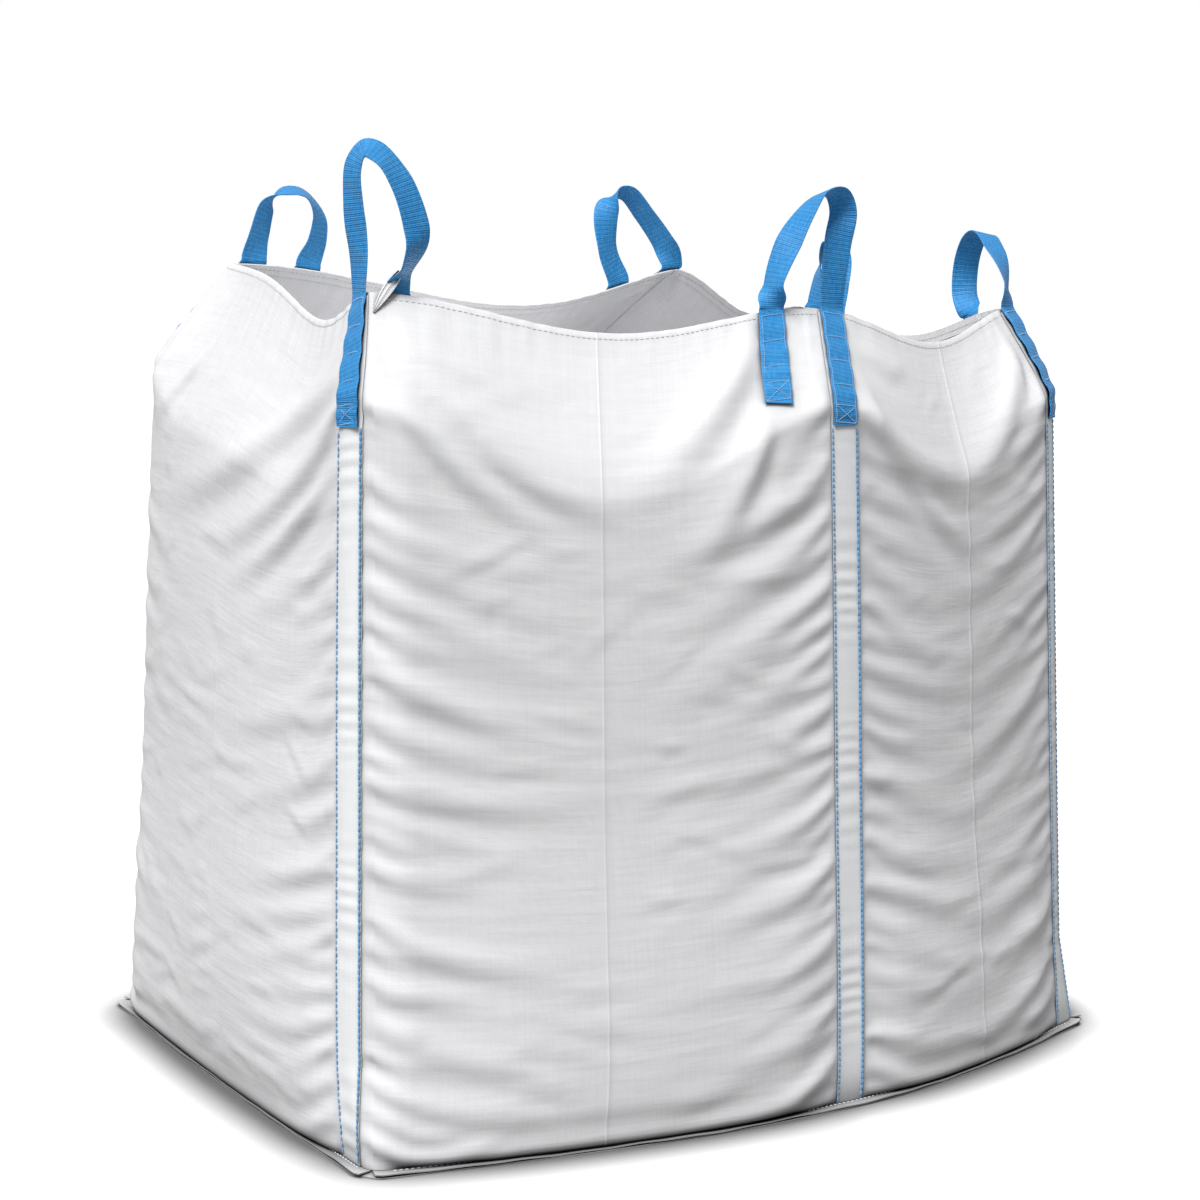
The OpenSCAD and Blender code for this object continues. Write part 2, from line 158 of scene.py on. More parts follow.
# ---- the wall as one cloth: a grid of threads, relaxed with its extra length ----
PITCH = 7.0        # between threads
WALL_HEIGHT = 1150
STRAY = 9          # most that a thread may leave the filled shape
STEPS_COARSE, STEPS_FINE = ((200, 80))
U_START = 2 + MID_BACK  # the grid starts and ends under the back's middle strip
fine_u = np.linspace(U_START, U_START + 4, 4001)
line = wall_point(fine_u, np.full(4001, 0.5))
walked = np.concatenate([[0], np.cumsum(np.linalg.norm(np.diff(line, axis=0), axis=1))])
COLS = 2 * round(walked[-1] / PITCH / 2)
ROWS = 2 * round(WALL_HEIGHT / PITCH / 2)
col_s = np.linspace(0, walked[-1], COLS + 1)
col_u = np.interp(col_s, walked, fine_u)


def s_of(u):
    """Distance along the wall of the walk u."""
    return np.interp((np.asarray(u) - U_START) % 4 + U_START, fine_u, walked)


def normals(x):
    """Directions outward from the grid x."""
    a = np.empty_like(x)
    b = np.empty_like(x)
    a[:, 1:-1] = x[:, 2:] - x[:, :-2]
    a[:, 0] = a[:, -1] = x[:, 1] - x[:, -2]
    b[1:-1] = x[2:] - x[:-2]
    b[0], b[-1] = x[1] - x[0], x[-1] - x[-2]
    return unit(np.cross(a, b))


def stroke(h, s, z, s0, z0, s1, z1, sag, amp, width, rise=0.5):
    """Adds one fold to the relief h: a ridge along a sagging line from (s0, z0) to (s1, z1)."""
    total = walked[-1]
    ds = (s - s0 + total / 2) % total - total / 2
    span = np.hypot(s1 - s0, z1 - z0)
    ax, az = (s1 - s0) / span, (z1 - z0) / span
    q = (ds * ax + (z - z0) * az) / span
    d = (z - z0) * abs(ax) - ds * az * np.sign(ax or 1)
    near = (q > 0) & (q < 1) & (np.abs(d) < 4 * width + abs(sag))
    q, d = q[near], d[near]
    env = np.sin(math.pi * q ** rise) ** 1.3
    k = (d + 4 * sag * q * (1 - q)) / (width * (0.8 + 0.7 * q))
    h[near] += amp * env * (np.exp(-k * k) - 0.55 * np.exp(-((k + 1.5) ** 2)))


# Large folds, each hung from a loop: start and end as (u, z), then sag, height and width.
SWAGS = [
    ((0.015, 1125), (0.26, 905), 30, 13, 27), ((0.02, 1050), (0.22, 850), 26, 9, 20),
    ((0.46, 1105), (0.28, 895), 16, 13, 27), ((0.47, 1000), (0.36, 800), 12, 8, 20),
    ((0.03, 1110), (0.17, 1040), 10, 6, 16), ((0.10, 1000), (0.30, 870), 26, 7, 18),
    ((0.585, 1085), (0.67, 890), 14, 11, 22), ((0.60, 1010), (0.86, 920), 60, 10, 26),
    ((0.95, 1095), (0.80, 900), 20, 10, 20), ((0.68, 900), (0.81, 770), 8, 8, 18),
    ((0.955, 1080), (0.90, 960), 4, 7, 13), ((0.60, 1090), (0.74, 1030), 8, 6, 15),
    ((3.94, 1120), (3.15, 860), 50, 11, 27), ((3.93, 1020), (3.40, 800), 36, 8, 20),
    ((3.95, 1090), (3.60, 960), 14, 7, 16), ((3.88, 930), (3.50, 760), 26, 7, 19),
    ((3.06, 1130), (3.10, 940), 8, 8, 18), ((3.20, 1090), (3.08, 960), 14, 6, 15),
    ((1.08, 1070), (1.45, 850), 40, 11, 24), ((1.90, 1060), (1.55, 840), 36, 10, 24),
    ((2.25, 1130), (2.06, 900), 24, 10, 24), ((2.35, 1120), (2.62, 900), 34, 11, 27),
    ((2.93, 1130), (2.70, 910), 30, 10, 24), ((2.36, 1030), (2.50, 820), 20, 8, 20)]


def swags(s, z):
    """The relief of the large folds."""
    h = np.zeros_like(s)
    for a, b, sag, amp, width in SWAGS:
        stroke(h, s, z, s_of(a[0]), a[1], s_of(b[0]), b[1], sag, 0.85 * amp, 0.85 * width, 0.7)
    return h


ROLL_SIZE, ROLL_HEIGHT, ROLL_FADE = 20, 85, 420
# Share of the usual height of the puckers on the side (-1 or 1) of a strip where the cloth is smoother.
PUCKER_SHARES = {(5, 1): 0.35, (2, 1): 0.35, (0, -1): 0.5, (1, 1): 0.5}


def foot_roll(u, z):
    """How far the full bag rolls out over its base seam; less at the two ears that stick out."""
    to_ear = np.minimum(np.abs(u - 1), np.abs((u - 3 + 2) % 4 - 2))
    to_near_left = np.abs((u + 2) % 4 - 2)
    to_strip = np.abs((u[..., None] - U_STRIP + 2) % 4 - 2).min(-1)
    size = ROLL_SIZE * smooth(0.12 + to_ear / 0.12) * (0.3 + 0.7 * smooth(to_near_left / 0.16)) \
        * (0.25 + 0.75 * smooth(to_strip / 0.09))
    low = np.clip(z / ROLL_HEIGHT, 0, 1)
    return size * np.sqrt(1 - (1 - low) ** 2) * (1 - smooth((z - ROLL_HEIGHT) / ROLL_FADE))


def seeds(s, z, top):
    """The small relief of the walls: puckers beside the strips, crumples, and gathers at the hem."""
    h = np.zeros_like(s)
    for i, u in enumerate(U_STRIP):
        for way in (-1, 1):
            y = 40 + 30 * rng.random()
            while y < top - 170:
                high = y / top
                reach = rng.uniform(110, 380)
                slope = rng.uniform(0.04, 0.34) + 0.3 * high ** 2
                amp = rng.uniform(1.6, 3.4) * (0.9 + 0.3 * high) * (0.7 + reach / 420)
                amp *= PUCKER_SHARES.get((i, way), 0.75)
                edge = s_of(u) + way * (STRIP_WIDTH / 2 - 8)
                stroke(h, s, z, edge, y, edge + way * reach, y - slope * reach,
                       rng.uniform(-0.02, 0.10) * reach, amp, rng.uniform(8, 12) + reach / 36, 0.5)
                y += rng.uniform(20, 60)
    for _ in range(420):
        a, y = rng.uniform(0, walked[-1]), rng.uniform(40, top - 40)
        reach, slope = rng.uniform(50, 170) * rng.choice((-1, 1)), rng.normal(-0.1, 0.25)
        stroke(h, s, z, a, y, a + reach, y + slope * abs(reach), rng.uniform(-6, 6),
               rng.uniform(0.6, 1.5), rng.uniform(8, 14), 1.0)
    gather = np.sin(s / 5.3 + 2.4 * np.sin(s / 37)) + 0.7 * np.sin(s / 9.1 + 3 * np.sin(s / 61))
    return h + 0.5 * gather * smooth((z - top + 70) / 60)


def pull(a, b, rest, wa, wb, k):
    """Moves the ends a and b of each thread toward its rest length."""
    d = b - a
    n = np.sqrt((d * d).sum(-1, keepdims=True))
    c = d * (k * (n - rest) / (n * (wa + wb)))
    a += wa * c
    b -= wb * c


def relax(x, target, rests, mobility, tether, steps, bend, cap):
    """Settles the cloth: threads keep their length, bend stiffly, hang a little and stay near target."""
    nor = normals(target)
    curl_h = target[:, 2:] - 2 * target[:, 1:-1] + target[:, :-2]
    curl_v = target[2:] - 2 * target[1:-1] + target[:-2]
    prev = x.copy()
    m = mobility[..., None]
    rh, rv, r1, r2 = (r[..., None] for r in rests)
    for step in range(steps):
        v = (x - prev) * 0.9
        prev = x.copy()
        x += m * (v + np.array([0, 0, -0.03]))
        off = ((x - target) * nor).sum(-1, keepdims=True)
        x -= m * (nor * (off - np.clip(off, -cap, cap) + tether[..., None] * off)
                  + 0.004 * (x - target - nor * off))
        for _ in range(2):
            d2 = x[:, 2:] - 2 * x[:, 1:-1] + x[:, :-2] - curl_h
            x[:, 1:-1] += 2 * bend * m[:, 1:-1] * d2
            x[:, 2:] -= bend * m[:, 2:] * d2
            x[:, :-2] -= bend * m[:, :-2] * d2
            d2 = x[2:] - 2 * x[1:-1] + x[:-2] - curl_v
            x[1:-1] += 2 * bend * m[1:-1] * d2
            x[2:] -= bend * m[2:] * d2
            x[:-2] -= bend * m[:-2] * d2
            for k in (0, 1):
                n = (x.shape[1] - k) // 2 * 2 + k
                pull(x[:, k:n:2], x[:, k + 1:n:2], rh[:, k:n:2], m[:, k:n:2], m[:, k + 1:n:2], 0.9)
                n = (x.shape[0] - k) // 2 * 2 + k
                pull(x[k:n:2], x[k + 1:n:2], rv[k:n:2], m[k:n:2], m[k + 1:n:2], 0.9)
                n = (x.shape[0] - k) // 2 * 2 + k
                pull(x[k:n:2, :-1], x[k + 1:n:2, 1:], r1[k:n:2], m[k:n:2, :-1], m[k + 1:n:2, 1:], 0.12)
                pull(x[k:n:2, 1:], x[k + 1:n:2, :-1], r2[k:n:2], m[k:n:2, 1:], m[k + 1:n:2, :-1], 0.12)
    return x


def lengths(x, extra):
    """Rest lengths of the threads: level, upright and the two diagonals of each mesh."""
    norm = lambda d: np.linalg.norm(d, axis=-1)
    rh, rv = norm(x[:, 1:] - x[:, :-1]), norm(x[1:] - x[:-1])
    long_v = rv * (1 + (extra[1:] + extra[:-1]) / 2)
    grow = np.sqrt((rh[1:] ** 2 + long_v[:, 1:] ** 2) / (rh[1:] ** 2 + rv[:, 1:] ** 2))
    return (rh, long_v, norm(x[1:, 1:] - x[:-1, :-1]) * grow, norm(x[1:, :-1] - x[:-1, 1:]) * grow)


def cloth():
    """The settled wall: first on every second thread, and then on all of them."""
    grid_u, grid_t = np.meshgrid(col_u, np.linspace(0, 1, ROWS + 1))
    target = wall_point(grid_u, grid_t)
    s = np.broadcast_to(col_s, grid_u.shape).copy()
    z = target[..., 2]
    strip_s = s_of(U_STRIP)
    away = np.abs((s[..., None] - strip_s + walked[-1] / 2) % walked[-1] - walked[-1] / 2).min(-1)
    beyond = np.maximum(away - STRIP_WIDTH / 2, 0)
    extra = 0.002 + 0.018 * np.exp(-beyond / 95)
    mobility = np.clip(0.04 + beyond / 40, 0, 1)
    mobility[0] = mobility[-1] = 1e-6
    mobility[:, 0] = mobility[:, -1] = 1e-6
    tether = np.where(beyond > 0, 0.010, 0.05)
    legs = np.abs((s[..., None] - s_of(U_SHORT) + walked[-1] / 2) % walked[-1] - walked[-1] / 2).min(-1)
    keep = smooth(beyond / 10) * (1 - (1 - smooth((legs - 20) / 16)) * smooth((z - 900) / 60))
    relief = seeds(s, z, 1130) * (0.04 + 0.96 * keep) + swags(s, z) * smooth(beyond / 40)
    plain = target + normals(target) * foot_roll(grid_u % 4, z)[..., None]
    target = plain + normals(target) * relief[..., None]
    x = target.copy()
    c = (slice(None, None, 2), slice(None, None, 2))
    small = relax(x[c].copy(), target[c], lengths(target[c], extra[c]), mobility[c], tether[c],
                  STEPS_COARSE, 0.006, STRAY)
    x += upsample(small - x[c], x.shape)
    x = relax(x, target, lengths(target, extra), mobility, tether * 0.6, STEPS_FINE, 0.008, STRAY)
    return mix(plain, x, smooth(beyond / 10 + 0.04)[..., None])


def upsample(g, shape):
    """Twice as fine a grid, by the mean of neighbours."""
    out = np.zeros(shape)
    out[::2, ::2] = g
    out[1::2, ::2] = (g[1:] + g[:-1]) / 2
    out[:, 1::2] = (out[:, 2::2] + out[:, :-2:2]) / 2
    return out


def pace(u, t):
    """Length of smooth wall walked for each whole step of u."""
    u, t = np.broadcast_arrays(np.asarray(u, float), np.asarray(t, float))
    return np.linalg.norm(wall_point(u + 0.004, t) - wall_point(u - 0.004, t), axis=-1) / 0.008


def along(u, mm):
    """The part of a walk that mm along the rim takes."""
    return mm / float(pace(u, 1.0))


U_SHORT = np.array([along(0.1, LEG_SPACINGS[0] - CORNER_REACH),
                    MID_FRONT - along(MID_FRONT, LEG_SPACINGS[1]),
                    1 + along(1.1, LEG_SPACINGS[2] - CORNER_REACH),
                    U_STRIP[3] - along(1.9, LEG_SPACINGS[3]),
                    U_STRIP[4] + along(2.4, LEG_SPACINGS[4]),
                    U_STRIP[5] - along(2.9, LEG_SPACINGS[5])])
CLOTH = cloth()
CLOTH[:, -1] = CLOTH[:, 0]
CLOTH_N = normals(CLOTH)


def cubic(g, a, b):
    """Smooth value of the grid g at column a and row b."""
    rows, cols = g.shape[:2]
    i, j = np.clip(a.astype(int), 0, cols - 2), np.clip(b.astype(int), 0, rows - 2)

    def weights(f):
        return (-f / 2 + f * f - f ** 3 / 2, 1 - 2.5 * f * f + 1.5 * f ** 3,
                f / 2 + 2 * f * f - 1.5 * f ** 3, -f * f / 2 + f ** 3 / 2)
    wa, wb = weights(a - i), weights(b - j)
    out = 0
    for m in range(4):
        jj = np.clip(j + m - 1, 0, rows - 1)
        for n in range(4):
            ii = (i + n - 1) % (cols - 1)
            out = out + (wb[m] * wa[n])[..., None] * g[jj, ii]
    return out


def skin(u, t, d=0.0):
    """A point d outward from the middle of the settled wall."""
    u, t, d = np.broadcast_arrays(np.asarray(u, float), np.asarray(t, float), np.asarray(d, float))
    a = np.interp((u - U_START) % 4 + U_START, col_u, np.arange(COLS + 1))
    b = np.clip(t, 0, 1) * ROWS
    return cubic(CLOTH, a, b) + unit(cubic(CLOTH_N, a, b)) * d[..., None]


def beside(u, mm, t, d=0.0):
    """The point mm to the side of u."""
    return skin(u + mm / pace(u, t), t, d)


def below(u, mm):
    """Share of the height that is mm below the rim."""
    return 1 - mm / np.linalg.norm(skin(u, 1.0) - skin(u, 1 - RIM_SHARE)) * RIM_SHARE


def wall_length(u):
    """Length of wall that the whole height stands for at the rim."""
    return np.linalg.norm(skin(u, 1.0) - skin(u, 1 - RIM_SHARE), axis=-1) / RIM_SHARE


def grid_uv(across, up, shape):
    """UVs in mm for a grid: across and up are rows, columns or single values."""
    return np.stack([np.broadcast_to(across, shape), np.broadcast_to(up, shape)], -1)


# ---- meshes ----
def put(name, verts, faces, uv, material, body, sharp=35):
    """Makes a piece from points and UVs in mm, and ties it to its body and material slot."""
    mesh = bpy.data.meshes.new(name)
    mesh.from_pydata((np.asarray(verts) * 0.001).tolist(), [], faces)
    layer = mesh.uv_layers.new(name="UVMap")
    index = np.empty(len(mesh.loops), int)
    mesh.loops.foreach_get("vertex_index", index)
    layer.data.foreach_set("uv", (np.asarray(uv)[index] * 0.001).astype(np.float32).ravel())
    mesh.shade_smooth()
    mesh.set_sharp_from_angle(angle=math.radians(sharp))
    obj = bpy.data.objects.new(name, mesh)
    bpy.context.scene.collection.objects.link(obj)
    mesh.materials.append(material)
    if body:
        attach(obj, body)
    return obj


def shell_faces(rows, cols):
    """Faces of a closed shell between an outer and an inner grid of points."""
    i, j = np.meshgrid(np.arange(rows - 1), np.arange(cols - 1), indexing="ij")
    a = (i * cols + j).ravel()
    n = rows * cols
    outer = np.stack([a, a + 1, a + cols + 1, a + cols], 1)
    inner = np.stack([a, a + cols, a + cols + 1, a + 1], 1) + n
    low, side = np.arange(cols - 1), np.arange(rows - 1) * cols
    high, right = low + (rows - 1) * cols, side + cols - 1
    return np.concatenate([
        outer, inner,
        np.stack([low + 1, low, low + n, low + 1 + n], 1),
        np.stack([high, high + 1, high + 1 + n, high + n], 1),
        np.stack([side, side + cols, side + cols + n, side + n], 1),
        np.stack([right + cols, right, right + n, right + cols + n], 1)]).tolist()


def shell(name, outer, inner, uv, material, body, sharp=35):
    """A piece closed between an outer and an inner grid."""
    rows, cols = outer.shape[:2]
    verts = np.concatenate([outer.reshape(-1, 3), inner.reshape(-1, 3)])
    flat = np.concatenate([uv.reshape(-1, 2)] * 2)
    return put(name, verts, shell_faces(rows, cols), flat, material, body, sharp)


def stitches(start, end, out, radius, lift=0.6, sides=6):
    """Thread beads, each from start to end, bowed out along out. Returns points, faces and UVs."""
    ks = np.array([0, 0.1, 0.3, 0.5, 0.7, 0.9, 1.0])
    rs = np.array([0.25, 0.75, 1, 1.05, 1, 0.75, 0.25]) * radius
    n, rings = len(start), len(ks)
    along = unit(end - start)
    across = unit(np.cross(along, out))
    up = unit(np.cross(across, along))
    k = ks[None, :, None]
    mid = start[:, None] * (1 - k) + end[:, None] * k + up[:, None] * (lift * radius * np.sin(math.pi * k))
    ang = np.arange(sides) * 2 * math.pi / sides
    ring = (np.cos(ang)[None, None, :, None] * across[:, None, None] +
            np.sin(ang)[None, None, :, None] * up[:, None, None])
    verts = (mid[:, :, None] + ring * rs[None, :, None, None]).reshape(-1, 3)
    uv = np.zeros((len(verts), 2))
    uv[:, 0] = np.tile(np.repeat(ks * 8, sides), n)
    uv[:, 1] = np.tile(np.arange(sides) * 0.8, n * rings)
    j = np.arange(sides)
    one = np.concatenate([np.stack([r * sides + j, r * sides + (j + 1) % sides,
                                    (r + 1) * sides + (j + 1) % sides, (r + 1) * sides + j], 1)
                          for r in range(rings - 1)])
    base = np.arange(n) * sides * rings
    faces = (one[None] + base[:, None, None]).reshape(-1, 4).tolist()
    first, last = j[::-1], (rings - 1) * sides + j
    faces += (first[None] + base[:, None]).tolist() + (last[None] + base[:, None]).tolist()
    return verts, faces, uv


def join(parts):
    """One list of points, faces and UVs from several."""
    verts, faces, uvs, n = [], [], [], 0
    for v, f, uv in parts:
        verts.append(v)
        faces += [[i + n for i in q] for q in f]
        uvs.append(uv)
        n += len(v)
    return np.concatenate(verts), faces, np.concatenate(uvs)


# ---- finishes ----
def principled(name, colour, rough, **sockets):
    """A material and its shader, with uniform values on the shader's own sockets."""
    mat = bpy.data.materials.new(name)
    mat.use_nodes = True
    shader = mat.node_tree.nodes["Principled BSDF"]
    shader.inputs["Base Color"].default_value = (*colour, 1)
    shader.inputs["Roughness"].default_value = rough
    for key, value in sockets.items():
        shader.inputs[key.replace("_", " ")].default_value = value
    mat.diffuse_color = (*colour, 1)
    return mat, shader


def node(mat, kind, **values):
    """A new node, with the values of its inputs or settings."""
    n = mat.node_tree.nodes.new(kind)
    for key, value in values.items():
        if key in n.inputs.keys():
            n.inputs[key].default_value = value
        else:
            setattr(n, key, value)
    return n


def maths(mat, op, a, b=None):
    n = node(mat, "ShaderNodeMath", operation=op)
    for i, x in enumerate((a, b)):
        if x is None:
            continue
        if isinstance(x, (int, float)):
            n.inputs[i].default_value = x
        else:
            mat.node_tree.links.new(x, n.inputs[i])
    return n.outputs[0]


def ripple(mat, x, pitch):
    """A wave with the given pitch along x, in metres."""
    return maths(mat, "SINE", maths(mat, "MULTIPLY", x, 2 * math.pi / pitch))


def noise(mat, uv, scale_x, scale_y, detail=3.0):
    m = node(mat, "ShaderNodeMapping")
    m.inputs["Scale"].default_value = (scale_x, scale_y, 1)
    mat.node_tree.links.new(uv, m.inputs["Vector"])
    n = node(mat, "ShaderNodeTexNoise", Scale=1.0, Detail=detail)
    mat.node_tree.links.new(m.outputs[0], n.inputs["Vector"])
    return n.outputs["Fac"]


def tint(mat, shader, fac, dark, light, shade=None):
    """Base colour between dark and light, times shade."""
    n = node(mat, "ShaderNodeMix", data_type="RGBA")
    n.inputs[6].default_value = (*dark, 1)
    n.inputs[7].default_value = (*light, 1)
    mat.node_tree.links.new(fac, n.inputs[0])
    colour = n.outputs[2]
    if shade is not None:
        scaled = node(mat, "ShaderNodeVectorMath", operation="SCALE")
        mat.node_tree.links.new(colour, scaled.inputs[0])
        mat.node_tree.links.new(shade, scaled.inputs["Scale"])
        colour = scaled.outputs[0]
    mat.node_tree.links.new(colour, shader.inputs["Base Color"])


def bump(mat, shader, height, distance, strength=1.0):
    n = node(mat, "ShaderNodeBump", Strength=strength, Distance=distance)
    mat.node_tree.links.new(height, n.inputs["Height"])
    mat.node_tree.links.new(n.outputs[0], shader.inputs["Normal"])


def woven(name, dark, light, pitch, rough, relief, crumple):
    """Flat tapes woven over and under: a relief of both sets, tapes of slightly different white, fine
    creases, and painted shade, from ambient occlusion, where the cloth lies close to the floor or in a fold."""
    mat, shader = principled(name, light, rough, Specular_IOR_Level=0.32)
    uv = node(mat, "ShaderNodeTexCoord").outputs["UV"]
    sep = node(mat, "ShaderNodeSeparateXYZ")
    mat.node_tree.links.new(uv, sep.inputs[0])
    x, y = sep.outputs[0], sep.outputs[1]
    weave = maths(mat, "MULTIPLY", ripple(mat, x, pitch), ripple(mat, y, pitch))
    tapes = maths(mat, "ADD", noise(mat, uv, 8, 420), noise(mat, uv, 260, 6))
    blotch = noise(mat, uv, 60, 60, 5.0)
    fac = maths(mat, "ADD", maths(mat, "MULTIPLY", tapes, 0.42), maths(mat, "MULTIPLY", blotch, 0.3))
    fac = maths(mat, "ADD", fac, maths(mat, "MULTIPLY", weave, 0.10))
    # Painted shade: ambient occlusion darkens the base colour near the floor, in folds and in crevices.
    painted_shade = node(mat, "ShaderNodeAmbientOcclusion", Distance=0.06).outputs["AO"]
    tint(mat, shader, fac, dark, light, maths(mat, "SUBTRACT", maths(mat, "MULTIPLY", painted_shade, 1.2), 0.2))
    height = maths(mat, "ADD", weave, maths(mat, "MULTIPLY", tapes, 1.2))
    height = maths(mat, "ADD", height, maths(mat, "MULTIPLY", noise(mat, uv, 7, 44, 4.0), crumple))
    bump(mat, shader, height, relief)
    return mat


FABRIC = woven("woven_fabric", (0.61, 0.61, 0.622), (0.80, 0.80, 0.815), 0.0030, 0.5, 0.00012, 12)
TAPE = woven("strip_tape", (0.70, 0.71, 0.73), (0.90, 0.905, 0.91), 0.0022, 0.45, 0.00010, 2)


def webbing():
    """Ribbed blue webbing with a twill, and uneven dye."""
    mat, shader = principled("blue_webbing", (0.05, 0.22, 0.55), 0.5, Specular_IOR_Level=0.35,
                             Sheen_Weight=0.1)
    uv = node(mat, "ShaderNodeTexCoord").outputs["UV"]
    sep = node(mat, "ShaderNodeSeparateXYZ")
    mat.node_tree.links.new(uv, sep.inputs[0])
    x, y = sep.outputs[0], sep.outputs[1]
    chevrons = maths(mat, "ADD", maths(mat, "ABSOLUTE", ripple(mat, x, 0.010)),
                     maths(mat, "MULTIPLY", y, 900))
    twill = ripple(mat, chevrons, 6.283)
    ribs = ripple(mat, y, 0.0028)
    fac = maths(mat, "ADD", maths(mat, "MULTIPLY", noise(mat, uv, 300, 60), 0.7),
                maths(mat, "MULTIPLY", ribs, 0.09))
    fac = maths(mat, "ADD", fac, maths(mat, "MULTIPLY", twill, 0.07))
    tint(mat, shader, fac, (0.006, 0.13, 0.40), (0.055, 0.42, 0.80))
    bump(mat, shader, maths(mat, "ADD", twill, ribs), 0.00018)
    return mat


def thread(name, dark, light):
    """Twisted sewing thread."""
    mat, shader = principled(name, light, 0.6, Specular_IOR_Level=0.3)
    uv = node(mat, "ShaderNodeTexCoord").outputs["UV"]
    sep = node(mat, "ShaderNodeSeparateXYZ")
    mat.node_tree.links.new(uv, sep.inputs[0])
    ply = ripple(mat, maths(mat, "ADD", sep.outputs[0], maths(mat, "MULTIPLY", sep.outputs[1], 0.7)), 0.0011)
    tint(mat, shader, maths(mat, "ADD", maths(mat, "MULTIPLY", ply, 0.4), 0.5), dark, light)
    bump(mat, shader, ply, 0.0001)
    return mat


WEBBING = webbing()
STRIP_THREAD = thread("strip_thread", (0.09, 0.25, 0.46), (0.22, 0.44, 0.68))
STRIP_CHAIN = thread("strip_chain", (0.30, 0.50, 0.72), (0.46, 0.66, 0.86))
LEG_THREAD = thread("leg_thread", (0.24, 0.46, 0.74), (0.46, 0.68, 0.92))
WHITE_THREAD = thread("white_thread", (0.80, 0.80, 0.81), (0.95, 0.95, 0.95))

# ---- walls, each with its top edge turned over the rim ----
SIDES = ["front", "right", "back", "left"]
SIDE_LENGTHS = [BASE_LENGTH, BASE_WIDTH, BASE_LENGTH, BASE_WIDTH]
FINE = 6.5  # size of the walls' faces
panels, hems = {}, {}


def rim_curl(u):
    """Directions at the rim: outward, and straight up along the wall."""
    p = skin(u, 1.0)
    up = unit(p - skin(u, 0.985))
    out = unit(skin(u, 1.0, 1.0) - p)
    return p, out, up


for side, name in enumerate(SIDES):
    cols = round(SIDE_LENGTHS[side] / FINE)
    rows = round(WALL_HEIGHT / FINE)
    line_u = np.linspace(side, side + 1, cols + 1)
    creases = (0.253, 0.785) if side % 2 == 0 else (0.5,)  # the cloth was folded flat along here
    for at in creases:
        near = side + at + np.array([-2.4, -1.0, 0, 1.0, 2.4]) / SIDE_LENGTHS[side]
        line_u = np.concatenate([line_u[np.abs(line_u - side - at) > 3.2 / SIDE_LENGTHS[side]], near])
    line_u = np.sort(line_u)
    from_crease = np.abs(line_u[:, None] - side - np.array(creases)).min(1) * SIDE_LENGTHS[side]
    crease = 0.7 * np.exp(-(from_crease / 1.3) ** 2)
    cols = len(line_u) - 1
    u, t = np.meshgrid(line_u, np.linspace(0, 1, rows + 1))
    outer, inner = skin(u, t, SKIN + crease), skin(u, t, -SKIN)
    p, out, up = rim_curl(u[-1])
    roll = [(0.1, 0.7), (-0.7, 1.1), (-1.7, 0.8), (-2.3, 0.2)]
    outer = np.concatenate([outer, [p + out * a + up * b for a, b in roll]])
    inner = np.concatenate([inner, [p + out * a * 0.45 - out * 0.5 + up * (b - 1.1)
                                    for a, b in roll]])
    up_wall = np.concatenate([t[:, 0] * WALL_HEIGHT, WALL_HEIGHT + 1 + np.arange(4)])
    uv = grid_uv(s_of(u[0]), up_wall[:, None], (rows + 5, cols + 1))
    panels[name] = shell(name + "_wall", outer, inner, uv, FABRIC, "bag", 50)
    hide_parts(name + "_panel")
    # The hem: the same cloth, turned in and sewn down.
    uh = np.linspace(side + 0.004, side + 0.996, cols + 1)
    depth = np.linspace(0, HEM_HEIGHT, 5)
    th = 1 - depth[:, None] / wall_length(uh)[None]
    uu = np.broadcast_to(uh, th.shape)
    o = skin(uu, th, -1.4)
    i = skin(uu, th, -2.6)
    uvh = grid_uv(s_of(uh), depth[:, None], th.shape)
    hems[name] = shell(name + "_hem_fold", o[::-1], i[::-1], uvh[::-1], FABRIC, "bag")
    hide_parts(name + "_hem")

